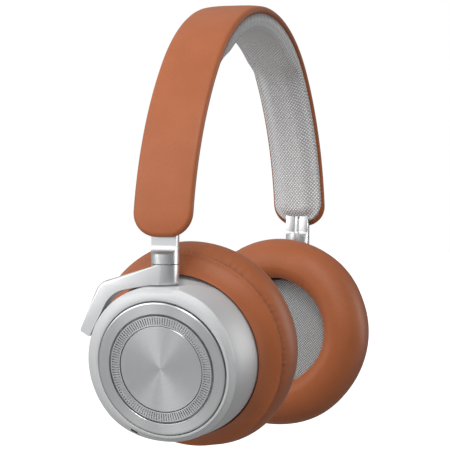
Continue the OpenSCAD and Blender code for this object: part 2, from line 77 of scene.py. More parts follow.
def add_node(tree, kind, inputs=None, links=None, **settings):
    """One shader node with its settings, its fixed inputs, and its links from other sockets."""
    made = tree.nodes.new("ShaderNode" + kind)
    for key, value in settings.items():
        setattr(made, key, value)
    for key, value in (inputs or {}).items():
        made.inputs[key].default_value = value
    for key, socket in (links or {}).items():
        tree.links.new(socket, made.inputs[key])
    return made


sky = bpy.data.worlds.new("studio")
sky.use_nodes = True
air = sky.node_tree
air.nodes.clear()
way = add_node(air, "TexCoord")
bright_way = (up * 0.62 - right * 0.7 - look * 0.36).normalized()
height = add_node(air, "VectorMath", {1: bright_way}, {0: way.outputs["Generated"]}, operation="DOT_PRODUCT")
glow = add_node(air, "ValToRGB", links={0: add_node(
    air, "MapRange", {1: -1.0, 2: 1.0}, {0: height.outputs["Value"]}).outputs[0]})
for place, shade in ((0.0, 0.16), (0.35, 0.19), (0.6, 0.44), (0.85, 0.85)):
    stop = glow.color_ramp.elements.new(place)
    stop.color = (shade, shade, shade, 1)
glow.color_ramp.elements.remove(glow.color_ramp.elements[-1])
glow.color_ramp.elements.remove(glow.color_ramp.elements[0])
lit = add_node(air, "Background", {"Strength": 1.0}, {"Color": glow.outputs[0]})
seen = add_node(air, "Background", {"Color": (1, 1, 1, 1), "Strength": 1.0})
straight = add_node(air, "LightPath")
both = add_node(air, "MixShader", links={
    0: straight.outputs["Is Camera Ray"], 1: lit.outputs[0], 2: seen.outputs[0]})
add_node(air, "OutputWorld", links={0: both.outputs[0]})
bpy.context.scene.world = sky

middle = Vector((0, 0, -90)) * mm


def soft_box(name, across, height, near, width, depth, power):
    """A soft box beside the camera's line of sight, aimed at the middle of the headphones."""
    light = bpy.data.lights.new(name, "AREA")
    light.shape = "RECTANGLE"
    light.size, light.size_y = width, depth
    light.energy = power
    lamp = bpy.data.objects.new(name, light)
    lamp.location = middle + right * across + up * height - look * near
    lamp.rotation_euler = (middle - lamp.location).to_track_quat("-Z", "Y").to_euler()
    bpy.context.scene.collection.objects.link(lamp)
    return lamp


soft_box("key_box", -0.95, 0.4, 0.5, 0.8, 0.9, 3.8)
soft_box("top_box", -0.05, 0.9, 1.0, 0.5, 0.5, 6.0)
soft_box("low_box", 0.05, -0.9, 1.0, 0.5, 0.4, 3.2)
soft_box("side_strip", 1.1, 0.0, -0.15, 0.3, 1.2, 7.0).visible_diffuse = False

# The floor is white paper. It is lit evenly, and to the eye it runs on into the white behind it.
bpy.ops.object.select_all(action="DESELECT")
bpy.ops.mesh.primitive_plane_add(size=6, location=(0, 0, cad_box[0][2] - 0.06))
floor = bpy.context.object
floor.name = "floor"
paper = bpy.data.materials.new("white_paper_floor")
paper.use_nodes = True
paper.node_tree.nodes["Principled BSDF"].inputs["Base Color"].default_value = (0.35, 0.35, 0.35, 1)
paper.node_tree.nodes["Principled BSDF"].inputs["Emission Color"].default_value = (1, 1, 1, 1)
sight = add_node(paper.node_tree, "LightPath")
paper.node_tree.links.new(sight.outputs["Is Camera Ray"],
                          paper.node_tree.nodes["Principled BSDF"].inputs["Emission Strength"])
floor.data.materials.append(paper)


# ---- Headband cover ---------------------------------------------------------------------------
# One strip of tan calf leather with round ends, glued over the band's frame. Its edges are rolled
# over a cord and tucked under the knitted pad, so they read as a soft rim about 5 mm deep.
band_a, band_b, crown_r = 88.3, 111.6, 75.0      # half width, rise and crown radius, outside
rest_h, spring_h = 142.45, 42.85                 # the ears' centre below the origin, and the spring line
side_r = (band_a ** 2 + (band_b - crown_r) ** 2 - crown_r ** 2) / (2 * (band_a - crown_r))
side_x = side_r - band_a
join = math.atan2(side_x, band_b - crown_r)      # angle from upright where crown and side arcs meet
crown_l = crown_r * join
band_w, band_end_r = 26.6, 10.5
band_low = 52.7
band_l = 2 * (crown_l + side_r * (math.acos((band_low - spring_h) / side_r) - join))


def only(piece, test, kind="faces"):
    """Selects in edit mode just the verts, edges or faces of a piece that pass a test."""
    bpy.ops.mesh.select_mode(type={"verts": "VERT", "edges": "EDGE", "faces": "FACE"}[kind])
    bpy.ops.mesh.select_all(action="DESELECT")
    mesh = bmesh.from_edit_mesh(piece.data)
    for part in getattr(mesh, kind):
        if test(part):
            part.select_set(True)
    mesh.select_flush_mode()
    bmesh.update_edit_mesh(piece.data)


def outward(piece):
    """Closes the seams and turns all faces of a closed piece outwards."""
    bpy.ops.object.mode_set(mode="EDIT")
    bpy.ops.mesh.select_all(action="SELECT")
    bpy.ops.mesh.remove_doubles(threshold=0.002 * mm)
    bpy.ops.mesh.normals_make_consistent(inside=False)
    if bmesh.from_edit_mesh(piece.data).calc_volume(signed=True) < 0:
        bpy.ops.mesh.flip_normals()
    bpy.ops.object.mode_set(mode="OBJECT")


def flat_strap(name, length, width, corner, outside, inside):
    """A strap with round ends, flat along X. Each side is built by insets of (inwards, raised) mm."""
    bpy.ops.object.select_all(action="DESELECT")
    bpy.ops.mesh.primitive_plane_add(size=1)
    strap = bpy.context.object
    strap.name = strap.data.name = name
    strap.scale = (length * mm, width * mm, 1)
    bpy.ops.object.transform_apply(scale=True)
    bpy.ops.object.mode_set(mode="EDIT")
    bpy.ops.mesh.select_all(action="SELECT")
    bpy.ops.mesh.bevel(offset=corner * mm, affect="VERTICES", segments=12, profile=0.5)
    straight_l = (length / 2 - corner) * mm
    bpy.ops.mesh.delete(type="ONLY_FACE")
    only(strap, lambda e: abs(e.verts[0].co.x - e.verts[1].co.x) > straight_l, "edges")
    bpy.ops.mesh.subdivide(number_cuts=99)
    bpy.ops.mesh.select_all(action="SELECT")
    bpy.ops.mesh.edge_face_add()
    bpy.ops.mesh.select_mode(type="FACE")
    bpy.ops.mesh.select_all(action="SELECT")
    bpy.ops.mesh.duplicate()
    bpy.ops.mesh.flip_normals()
    for steps, facing in ((inside, -1), (outside, 1)):
        only(strap, lambda f: len(f.verts) > 60 and f.normal.z * facing > 0.5)
        edge_y = width / 2
        for inwards, raised in steps:
            bpy.ops.mesh.inset(thickness=inwards * mm, depth=raised * mm, use_even_offset=True)
            edge_y -= inwards
        bpy.ops.mesh.delete(type="ONLY_FACE")
        only(strap, lambda e: e.is_boundary and all(abs(v.co.x) < straight_l + 0.7 * mm
             and abs(abs(v.co.y) - edge_y * mm) < 1e-6 for v in e.verts), "edges")
        bpy.ops.mesh.bridge_edge_loops(number_cuts=2, interpolation="LINEAR")
        only(strap, lambda e: e.is_boundary and all(v.co.z * facing > 1e-5 for v in e.verts), "edges")
        bpy.ops.mesh.fill_holes(sides=0)
    bpy.ops.object.mode_set(mode="OBJECT")
    outward(strap)
    return strap


def lay_uv(piece, place):
    """Gives a piece a UV map, in units of 100 mm, from a function of the vertex."""
    layer = piece.data.uv_layers.new(name="lay")
    layer.active_render = True
    for loop in piece.data.loops:
        layer.data[loop.index].uv = place(piece.data.vertices[loop.vertex_index].co)


def over_the_head(length, across, depth):
    """A point of the band from its distance along from the crown, across, and below its outside, in mm."""
    way = 1 if length >= 0 else -1
    along = abs(length)
    if along <= crown_l:
        turn = along / crown_r
        x = (crown_r - depth) * math.sin(turn)
        z = band_b - crown_r + (crown_r - depth) * math.cos(turn)
    else:
        turn = join + (along - crown_l) / side_r
        x = (side_r - depth) * math.sin(turn) - side_x
        z = (side_r - depth) * math.cos(turn)
    return Vector((way * x, across, z + spring_h - rest_h)) * mm


def quarter_roll(radius, steps, start=0.0):
    """Insets and rises, in mm, that round an edge over a quarter circle."""
    angles = [start + (math.pi / 2 - start) * i / steps for i in range(steps + 1)]
    return [(radius * (math.cos(a) - math.cos(b)), radius * (math.sin(b) - math.sin(a)))
            for a, b in zip(angles, angles[1:])]


rim_mid = 2.5                     # depth of the rim's widest line below the band's outside
cover = flat_strap("leather_band_cover", band_l, band_w, band_end_r,
                   quarter_roll(rim_mid - 0.45, 6) + [(2.0, 0.25), (2.5, 0.15), (3.0, 0.05)],
                   quarter_roll(1.1, 4) + [(0.35, 1.3), (0.35, -0.1), (0.15, -1.0), (0.5, -0.2), (0.3, -2.1),
                                           (3.0, 0.0), (3.0, 0.0)])
lay_uv(cover, lambda p: (p.x / (100 * mm), p.y / (100 * mm)))
for vertex in cover.data.vertices:
    flat = vertex.co / mm
    vertex.co = over_the_head(flat.x, flat.y, rim_mid - flat.z)
bpy.ops.object.select_all(action="DESELECT")
cover.select_set(True)
bpy.context.view_layer.objects.active = cover
bpy.ops.object.shade_smooth()


def hex_colour(code):
    """sRGB hex to the linear colour that shaders take."""
    parts = [int(code[i:i + 2], 16) / 255 for i in (1, 3, 5)]
    return tuple(c / 12.92 if c <= 0.04045 else ((c + 0.055) / 1.055) ** 2.4 for c in parts) + (1,)


def new_material(name):
    """A named material, its node tree and its shader."""
    made = bpy.data.materials.new(name)
    made.use_nodes = True
    return made, made.node_tree, made.node_tree.nodes["Principled BSDF"]


def wear(piece, material):
    """Dresses a whole piece in one material."""
    piece.data.materials.clear()
    piece.data.materials.append(material)
    for face in piece.data.polygons:
        face.material_index = 0


# Aniline-dyed calf leather with a light wax finish: even tan, darker in its pores, satin sheen.
# Pores are 0.5 mm apart and are drawn at 0.9 mm so that they show. Shade is painted into tight corners, creases and
# where the leather meets the housing.
calf, tree, shader = new_material("tan_calf_leather")
pore = 0.9 * mm
place = add_node(tree, "TexCoord")
tone = add_node(tree, "TexNoise", {"Scale": 1 / (14 * mm), "Detail": 4.0}, {"Vector": place.outputs["Object"]})
pores = add_node(tree, "TexVoronoi", {"Scale": 1 / pore}, {"Vector": place.outputs["Object"]},
                 feature="SMOOTH_F1")
creases = add_node(tree, "TexNoise", {"Scale": 1 / (2.2 * mm), "Detail": 5.0, "Roughness": 0.6},
                   {"Vector": place.outputs["Object"]})
dye = add_node(tree, "ValToRGB", links={0: tone.outputs[0]})
dye.color_ramp.elements[0].position, dye.color_ramp.elements[1].position = 0.35, 0.68
dye.color_ramp.elements[0].color = hex_colour("#A85B2F")
dye.color_ramp.elements[1].color = hex_colour("#AE6034")
dip = add_node(tree, "MapRange", {1: 0.0, 2: 0.75, 3: 1.03, 4: 0.95}, {0: pores.outputs["Distance"]})
stain = add_node(tree, "Mix", {"Factor": 1.0}, data_type="RGBA", blend_type="MULTIPLY")
tree.links.new(dye.outputs[0], stain.inputs["A"])
tree.links.new(dip.outputs[0], stain.inputs["B"])
# Painted shade: an ambient-occlusion node darkens the leather's colour in creases, at the seam and beside the housing.
corner_shade = add_node(tree, "AmbientOcclusion", {"Distance": 7 * mm}, samples=8)
painted_shade_ramp = add_node(tree, "ValToRGB", links={0: corner_shade.outputs["AO"]})
painted_shade_ramp.color_ramp.elements[0].position, painted_shade_ramp.color_ramp.elements[1].position = 0.25, 0.85
painted_shade_ramp.color_ramp.elements[0].color = (0.34, 0.24, 0.18, 1)
painted_shade_ramp.color_ramp.elements[1].color = (1, 1, 1, 1)
dye_and_painted_shade = add_node(tree, "Mix", {"Factor": 1.0}, data_type="RGBA", blend_type="MULTIPLY")
tree.links.new(stain.outputs["Result"], dye_and_painted_shade.inputs["A"])
tree.links.new(painted_shade_ramp.outputs[0], dye_and_painted_shade.inputs["B"])
tree.links.new(dye_and_painted_shade.outputs["Result"], shader.inputs["Base Color"])
grain = add_node(tree, "Bump", {"Strength": 0.3, "Distance": 0.05 * mm}, {"Height": pores.outputs["Distance"]})
folds = add_node(tree, "Bump", {"Strength": 0.12, "Distance": 0.1 * mm},
                 {"Height": creases.outputs[0], "Normal": grain.outputs[0]})
tree.links.new(folds.outputs[0], shader.inputs["Normal"])
shader.inputs["Roughness"].default_value = 0.5
shader.inputs["Specular IOR Level"].default_value = 0.45
shader.inputs["Sheen Weight"].default_value = 0.06
shader.inputs["Sheen Roughness"].default_value = 0.5
wear(cover, calf)
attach(cover, "headband")
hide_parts("band_cover")


# ---- Headband pad -----------------------------------------------------------------------------
# Foam under light grey knitted fabric, thick over the crown and thin down the sides, where a
# raised middle covers the slide guides. It is open at each end for the slider.
pad_w = band_w - 2.3
pad_top = 3.9                     # depth of its edge below the band's outside
insets = [0.25, 0.25, 0.3, 0.4, 0.5, 0.6, 0.8, 1.0, 1.2, 1.4, 1.6]
pad = flat_strap("knit_band_pad", band_l - 4.2, pad_w, band_end_r - 1.15,
                 [(i, i) for i in insets], [(0.6, 0.02), (8.0, 0.0)])
lay_uv(pad, lambda p: (p.x / (100 * mm), p.y / (100 * mm)))


def ease(value, start, end):
    """0 before start, 1 after end, and smooth between them."""
    t = min(max((value - start) / (end - start), 0), 1)
    return t * t * (3 - 2 * t)


thick_l, thin_l = 44.0, 68.0      # along the band, where the crown's pad starts and ends thinning
for vertex in pad.data.vertices:
    flat = vertex.co / mm
    inwards = flat.z
    if inwards < 0:
        vertex.co = over_the_head(flat.x, flat.y, pad_top - 0.05)
        continue
    crown = 1 - ease(abs(flat.x), thick_l, thin_l)
    wall = math.sqrt(1 - (1 - min(inwards / 2.6, 1)) ** 2)
    thin = 2.2 * math.sqrt(1 - (1 - min(inwards / 1.6, 1)) ** 2) + 3.4 * ease(inwards, 1.6, 7.5)
    middle_rise = 0.5 * ease(inwards, 2.0, 8.3)
    crease = 0.35 * math.exp(-((abs(flat.x) - 21) / 0.9) ** 2)
    depth = pad_top + (1 - crown) * thin + crown * (7.4 * wall + middle_rise - crease * ease(inwards, 2, 5))
    vertex.co = over_the_head(flat.x, flat.y, depth)
pad.data.flip_normals()           # its depth grows downwards
bpy.ops.object.select_all(action="DESELECT")
pad.select_set(True)
bpy.context.view_layer.objects.active = pad
bpy.ops.object.shade_smooth()

# Polyester knit: fine ribs crossing on the diagonal leave rows of small dark holes 1.2 mm apart.
knit, tree, shader = new_material("light_grey_knit")
stitch = 1.2 * mm
place = add_node(tree, "TexCoord")
ribs = []
for turn in (-52, 52):
    turned = add_node(tree, "Mapping", {"Rotation": (0, 0, math.radians(turn))}, {"Vector": place.outputs["UV"]})
    ribs.append(add_node(tree, "TexWave", {"Scale": 0.314159 * 0.1 / stitch, "Distortion": 0.6, "Detail": 1.0,
                                           "Detail Scale": 2.0}, {"Vector": turned.outputs[0]}))
holes = add_node(tree, "Math", links={0: ribs[0].outputs["Fac"], 1: ribs[1].outputs["Fac"]}, operation="MULTIPLY")
yarn = add_node(tree, "ValToRGB", links={0: holes.outputs[0]})
yarn.color_ramp.elements[0].color = hex_colour("#B4B6B7")
yarn.color_ramp.elements[1].position = 0.35
yarn.color_ramp.elements[1].color = hex_colour("#FAFBFC")
tree.links.new(yarn.outputs[0], shader.inputs["Base Color"])
loops = add_node(tree, "Bump", {"Strength": 0.7, "Distance": 0.25 * mm}, {"Height": holes.outputs[0]})
tree.links.new(loops.outputs[0], shader.inputs["Normal"])
shader.inputs["Roughness"].default_value = 0.85
shader.inputs["Specular IOR Level"].default_value = 0.2
shader.inputs["Sheen Weight"].default_value = 0.4
wear(pad, knit)
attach(pad, "headband")
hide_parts("band_pad")


# ---- Inside the headband ----------------------------------------------------------------------
# A moulded nylon frame with a spring steel strip and a flexible ribbon of wires, and at each end
# a nylon guide, a detent leaf and four small screws. The pad and the cover hide all of it.
def plain_material(name, colour, roughness, metallic=0.0, grit=0.5, depth=0.02, mottle=0.06):
    """A moulded, drawn or coated finish: even colour with a fine grit, in mm."""
    made, tree, shader = new_material(name)
    place = add_node(tree, "TexCoord")
    grits = add_node(tree, "TexNoise", {"Scale": 1 / (grit * mm), "Detail": 3.0}, {"Vector": place.outputs["Object"]})
    drift = add_node(tree, "TexNoise", {"Scale": 1 / (18 * mm), "Detail": 2.0}, {"Vector": place.outputs["Object"]})
    shade = add_node(tree, "ValToRGB", links={0: drift.outputs[0]})
    base = hex_colour(colour)
    shade.color_ramp.elements[0].color = tuple(c * (1 - mottle) for c in base[:3]) + (1,)
    shade.color_ramp.elements[1].color = tuple(min(c * (1 + mottle), 1) for c in base[:3]) + (1,)
    tree.links.new(shade.outputs[0], shader.inputs["Base Color"])
    fine = add_node(tree, "Bump", {"Strength": 0.3, "Distance": depth * mm}, {"Height": grits.outputs[0]})
    tree.links.new(fine.outputs[0], shader.inputs["Normal"])
    shader.inputs["Roughness"].default_value = roughness
    shader.inputs["Metallic"].default_value = metallic
    return made


nylon = plain_material("black_moulded_nylon", "#1C1D1F", 0.5)
spring_steel = plain_material("bright_spring_steel", "#B9BBBE", 0.28, metallic=1.0, grit=0.3, depth=0.01)
polyimide = plain_material("amber_polyimide_film", "#B4702C", 0.35, grit=1.0)
sides = ("right", "left")
for node in ["band_frame"] + [f"slide_guide_{s}" for s in sides]:
    wear(nodes[node], nylon)
for node in ["spring_band"] + [f"{n}_{s}" for n in ("detent_leaf", "guide_screws") for s in sides]:
    wear(nodes[node], spring_steel)
wear(nodes["band_ribbon"], polyimide)


# ---- Sliders ----------------------------------------------------------------------------------
# A round aluminium stem, turned and then milled on both faces into a flat tongue that slides in
# the band. The cutter leaves a scoop on each face, and two grooves run down the inner face.
stem_r, tongue_t, tongue_depth = 5.85, 3.0, 6.1
tongue_r = side_r - tongue_depth
stem_x = band_a - tongue_depth
swivel_z, post_low = 41.2, 32.9
stem_foot = swivel_z + 0.3
stem_top = 58.0


def turned_bar(name, radius, low, high, x, y=0.0, sides=96):
    """A round bar standing in the ears' frame, as it comes off the lathe."""
    bpy.ops.object.select_all(action="DESELECT")
    bpy.ops.mesh.primitive_cylinder_add(vertices=sides, radius=radius * mm, depth=(high - low) * mm,
                                        location=(x * mm, y * mm, ((high + low) / 2 - rest_h) * mm))
    bar = bpy.context.object
    bar.name = bar.data.name = name
    bpy.ops.object.transform_apply(location=True, rotation=True, scale=True)
    return bar


def cut_away(piece, cutter, how="DIFFERENCE"):
    """Mills the cutter's shape out of a piece, or joins it on."""
    tool = piece.modifiers.new("cut", "BOOLEAN")
    tool.operation, tool.object, tool.solver = how, cutter, "EXACT"
    bpy.ops.object.select_all(action="DESELECT")
    bpy.context.view_layer.objects.active = piece
    piece.select_set(True)
    bpy.ops.object.modifier_apply(modifier="cut")
    bpy.data.objects.remove(cutter)


def across_bar(radius, x, z, length=40.0, y=0.0):
    """A round cutter lying front to back."""
    bpy.ops.object.select_all(action="DESELECT")
    bpy.ops.mesh.primitive_cylinder_add(vertices=128, radius=radius * mm, depth=length * mm,
                                        location=(x * mm, y * mm, (z - rest_h) * mm), rotation=(math.pi / 2, 0, 0))
    bpy.ops.object.transform_apply(location=True, rotation=True, scale=True)
    return bpy.context.object


def block(x0, x1, y0, y1, z0, z1):
    """A square cutter between limits in the ears' frame, in mm."""
    bpy.ops.object.select_all(action="DESELECT")
    bpy.ops.mesh.primitive_cube_add(size=1, location=Vector(
        ((x0 + x1) / 2, (y0 + y1) / 2, (z0 + z1) / 2 - rest_h)) * mm)
    bpy.context.object.scale = Vector((x1 - x0, y1 - y0, z1 - z0)) * mm
    bpy.ops.object.transform_apply(location=True, rotation=True, scale=True)
    return bpy.context.object


def ease_edges(piece, width, segments=3, angle=35):
    """Breaks the sharp edges of a machined piece and smooths the rest."""
    bevel = piece.modifiers.new("edges", "BEVEL")
    bevel.width, bevel.segments, bevel.limit_method = width * mm, segments, "ANGLE"
    bevel.angle_limit = math.radians(angle)
    bpy.ops.object.select_all(action="DESELECT")
    bpy.context.view_layer.objects.active = piece
    piece.select_set(True)
    bpy.ops.object.modifier_apply(modifier="edges")
    bpy.ops.object.shade_smooth_by_angle(angle=math.radians(30))


def tongue_x(z, offset=0.0):
    """Where the tongue's middle line stands at a height."""
    return math.sqrt((tongue_r + offset) ** 2 - (z - spring_h) ** 2) - side_x


def other_side(piece, name):
    """The mirror-image copy for the other side, with its own mesh."""
    twin = piece.copy()
    twin.data = piece.data.copy()
    twin.name = twin.data.name = name
    bpy.context.scene.collection.objects.link(twin)
    bpy.ops.object.select_all(action="DESELECT")
    bpy.context.view_layer.objects.active = twin
    twin.select_set(True)
    twin.scale = (-1, 1, 1)
    bpy.ops.object.transform_apply(scale=True)
    outward(twin)
    return twin


stem = turned_bar("slider_stem_left_turned", stem_r, stem_foot, stem_top, stem_x)
out_x, in_x = tongue_t / 2, -tongue_t / 2
cut_away(stem, across_bar(3.7, stem_x + out_x + 3.7, stem_foot + 4 + 3.7))
cut_away(stem, block(stem_x + out_x, stem_x + 12, -12, 12, stem_foot + 7.6, stem_top + 1))
cut_away(stem, across_bar(2.2, stem_x + in_x - 2.2, stem_foot + 6.2 + 2.2))
cut_away(stem, block(stem_x - 12, stem_x + in_x, -12, 12, stem_foot + 8.3, stem_top + 1))
for groove_y in (-1.1, 1.1):
    cut_away(stem, block(stem_x + in_x - 3, stem_x + in_x + 0.7, groove_y - 0.4, groove_y + 0.4,
                         stem_foot + 6.6, stem_top + 1))
ease_edges(stem, 0.18, 2)

# Bead-blasted, clear anodised aluminium: an even pale grey with a soft, slightly sparkling sheen.
# The blasted pits are 0.05 mm and are drawn at 0.35 mm so that they show.
blasted, tree, shader = new_material("blasted_anodised_aluminium")
place = add_node(tree, "TexCoord")
pits = add_node(tree, "TexNoise", {"Scale": 1 / (0.35 * mm), "Detail": 2.0}, {"Vector": place.outputs["Object"]})
film = add_node(tree, "TexNoise", {"Scale": 1 / (22 * mm), "Detail": 2.0}, {"Vector": place.outputs["Object"]})
tint = add_node(tree, "ValToRGB", links={0: film.outputs[0]})
tint.color_ramp.elements[0].color = hex_colour("#D2D3D4")
tint.color_ramp.elements[1].color = hex_colour("#DADBDC")
tree.links.new(tint.outputs[0], shader.inputs["Base Color"])
rough = add_node(tree, "Bump", {"Strength": 0.12, "Distance": 0.02 * mm}, {"Height": pits.outputs[0]})
tree.links.new(rough.outputs[0], shader.inputs["Normal"])
shader.inputs["Metallic"].default_value = 1.0
shader.inputs["Roughness"].default_value = 0.36
wear(stem, blasted)
stems = {"left": stem, "right": other_side(stem, "slider_stem_right_turned")}
for side, piece in stems.items():
    bpy.ops.object.select_all(action="DESELECT")
    piece.select_set(True)
    bpy.context.view_layer.objects.active = piece
    bpy.ops.object.shade_smooth_by_angle(angle=math.radians(30))
    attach(piece, f"slider_{side}")
    wear(nodes[f"slider_stem_{side}"], blasted)
    wear(nodes[f"swivel_pin_{side}"], spring_steel)
    wear(nodes[f"swivel_washer_{side}"], nylon)


# ---- Yoke arms --------------------------------------------------------------------------------
# A forged aluminium arm: a post turned to the stem's size, and a flat arm that leaves it
# tangentially, runs back over the housing and bends down to the tilt pin at its tip.
arm_face, arm_t, arm_in = stem_x + stem_r, 6.2, 29.94
pivot_x, pivot_z, pin_r = 85.0, 15.0, 1.3


def drawn(name, points):
    """A closed line through points in mm: a circle's vertices, each moved to its place."""
    bpy.ops.object.select_all(action="DESELECT")
    bpy.ops.mesh.primitive_circle_add(vertices=len(points), fill_type="NOTHING")
    piece = bpy.context.object
    piece.name = piece.data.name = name
    for vertex, point in zip(piece.data.vertices, points):
        vertex.co = Vector(point) * mm
    return piece


def rounded_corner(before, corner, after, radius, steps=10):
    """Points of an arc that rounds a corner of a flat outline."""
    p, q, s = Vector(before), Vector(corner), Vector(after)
    u, v = (p - q).normalized(), (s - q).normalized()
    half = u.angle(v) / 2
    centre = q + (u + v).normalized() * radius / math.sin(half)
    start = q + u * radius / math.tan(half) - centre
    end = q + v * radius / math.tan(half) - centre
    first = math.atan2(start.y, start.x)
    swing = (math.atan2(end.y, end.x) - first + math.pi) % (2 * math.pi) - math.pi
    return [centre + radius * Vector((math.cos(first + swing * i / steps), math.sin(first + swing * i / steps)))
            for i in range(steps + 1)]


in_tip = Vector((arm_in + 1.8, pivot_z - 4.6))
out_tip = in_tip + 4.9 * Vector((0.87, 0.49))
out_elbow, in_elbow = (arm_in - 2.2, post_low + 0.4), (arm_in - 8, post_low - 3.5)
outline = ([Vector((0, swivel_z)), Vector((3, swivel_z - 0.5))]
           + rounded_corner((3, swivel_z - 0.6), out_elbow, out_tip, 7.5)
           + rounded_corner(out_elbow, out_tip, in_tip, 0.8, 4)
           + rounded_corner(out_tip, in_tip, in_elbow, 0.8, 4)
           + rounded_corner(in_tip, in_elbow, (4.4, post_low), 12.5)
           + [Vector((4.4, post_low)), Vector((0, post_low))])
arm = drawn("yoke_arm_left_forged", [(arm_face - arm_t, p.x, p.y - rest_h) for p in outline])
bpy.ops.object.mode_set(mode="EDIT")
bpy.ops.mesh.select_all(action="SELECT")
bpy.ops.mesh.edge_face_add()
bpy.ops.mesh.extrude_region_move(TRANSFORM_OT_translate={"value": (arm_t * mm, 0, 0)})
upper = {(round(p.x, 2), round(p.y, 2)) for p in outline[1:13]}


def on_upper_edge(vertex):
    """Whether a vertex is on the arm's upper outer edge."""
    flat = vertex.co / mm
    return flat.x > arm_face - 0.01 and (round(flat.y, 2), round(flat.z + rest_h, 2)) in upper


only(arm, lambda e: all(on_upper_edge(v) for v in e.verts), "edges")
bpy.ops.mesh.bevel(offset=1.7 * mm, segments=4, profile=0.55)
bpy.ops.object.mode_set(mode="OBJECT")
outward(arm)
post = turned_bar("post", stem_r, post_low, swivel_z, stem_x, sides=128)
bpy.ops.object.mode_set(mode="EDIT")
only(post, lambda e: all(v.co.z < (post_low - rest_h + 0.01) * mm for v in e.verts), "edges")
bpy.ops.mesh.bevel(offset=0.9 * mm, segments=4)
bpy.ops.object.mode_set(mode="OBJECT")
cut_away(arm, post, "UNION")
cut_away(arm, turned_bar("bore", 2.62, post_low - 2, swivel_z + 2, stem_x))
cut_away(arm, across_bar(pin_r + 0.9, pivot_x, pivot_z, 20, arm_in + 3.4 + 10))

# The arm is hollowed inside its tip, where the housing's wall passes as the cup leans out to its stop.
housing_r, pass_gap, tilt_most = 34.2, 0.5, 14
pivot_a, pivot_w, cup_y = 20.9, 15.4, -1.5       # the tilt pin's place in the cup
bpy.ops.object.select_all(action="DESELECT")
bpy.ops.mesh.primitive_cylinder_add(vertices=192, radius=(housing_r + pass_gap) * mm, depth=22 * mm,
                                    location=(11 * mm, 0, 0), rotation=(0, math.pi / 2, 0))
passing = bpy.context.object
bpy.ops.object.transform_apply(location=True, rotation=True, scale=True)
bpy.ops.object.mode_set(mode="EDIT")
bpy.ops.mesh.select_all(action="SELECT")
bpy.ops.mesh.bisect(plane_co=(0, 0, 24.4 * mm), plane_no=(0, 0, 1), use_fill=True, clear_outer=True)
bpy.ops.object.mode_set(mode="OBJECT")
passing.data.transform(Matrix.Translation(Vector((pivot_x, 0, pivot_z - rest_h)) * mm)
                       @ Matrix.Rotation(math.radians(tilt_most), 4, "Y")
                       @ Matrix.Translation(Vector((-pivot_a, cup_y, -pivot_w)) * mm))
cut_away(arm, passing)
ease_edges(arm, 0.3, 3, 40)
wear(arm, blasted)
arms = {"left": arm, "right": other_side(arm, "yoke_arm_right_forged")}
for side, piece in arms.items():
    bpy.ops.object.select_all(action="DESELECT")
    piece.select_set(True)
    bpy.context.view_layer.objects.active = piece
    bpy.ops.object.shade_smooth_by_angle(angle=math.radians(35))
    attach(piece, f"yoke_{side}")
    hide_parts(f"yoke_arm_{side}")
    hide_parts(f"slider_stem_{side}")
    wear(nodes[f"tilt_pin_{side}"], spring_steel)


# ---- Housings ---------------------------------------------------------------------------------
# A drawn shell in satin silver lacquer, with a rounded shoulder round a recess for the disc, and
# a saddle over its top that lets the arm pass as the cup tilts.
shoulder_r, wall = 5.6, 1.8
face_a, rim_a, floor_a, back_a = 28.2, 27.6, 25.4, 0.9
tilts = {"right": 10.2, "left": 4.8}
relief_r, relief_y0, relief_drop = 17.5, -8.45, 2.4


def revolved(name, profile, steps=144, axis=(1, 0, 0)):
    """A piece turned about the cup's axis, X, from a closed profile of (distance outwards, radius)."""
    piece = drawn(name, [(a, 0, r) for a, r in profile])
    bpy.ops.object.mode_set(mode="EDIT")
    bpy.ops.mesh.select_all(action="SELECT")
    bpy.ops.mesh.spin(steps=steps, angle=2 * math.pi, center=(0, 0, 0), axis=axis)
    bpy.ops.mesh.select_all(action="SELECT")
    bpy.ops.mesh.remove_doubles(threshold=0.002 * mm)
    bpy.ops.mesh.delete_loose()
    bpy.ops.object.mode_set(mode="OBJECT")
    outward(piece)
    return piece


def arc(a, r, radius, start, end, steps):
    """Points (a, r) of an arc, its angles in degrees from the outward direction towards larger radius."""
    return [(a + radius * math.cos(math.radians(start + (end - start) * i / steps)),
             r + radius * math.sin(math.radians(start + (end - start) * i / steps))) for i in range(steps + 1)]


def cup_frame(side):
    """The matrix from the cup's own frame to its place on a side, tilted as the cup hangs."""
    turn = Matrix.Rotation(math.radians(tilts[side]), 4, "Y")
    hang = Matrix.Translation(Vector((pivot_x, 0, pivot_z - rest_h)) * mm)
    cup = Matrix.Translation(Vector((-pivot_a, cup_y, -pivot_w)) * mm)
    return Matrix.Diagonal((-1 if side == "right" else 1, 1, 1, 1)) @ hang @ turn @ cup


def in_cup(piece, side):
    """Puts a piece that was made in the cup's own frame in its place on a side."""
    piece.data.transform(cup_frame(side))
    if side == "right":
        piece.data.flip_normals()


def copy_of(piece, name):
    """A copy with its own mesh."""
    twin = piece.copy()
    twin.data = piece.data.copy()
    twin.name = twin.data.name = name
    bpy.context.scene.collection.objects.link(twin)
    return twin


def smooth(piece, angle=35):
    """Smooth shading, with edges sharper than the angle kept."""
    bpy.ops.object.select_all(action="DESELECT")
    piece.select_set(True)
    bpy.context.view_layer.objects.active = piece
    bpy.ops.object.shade_smooth_by_angle(angle=math.radians(angle))


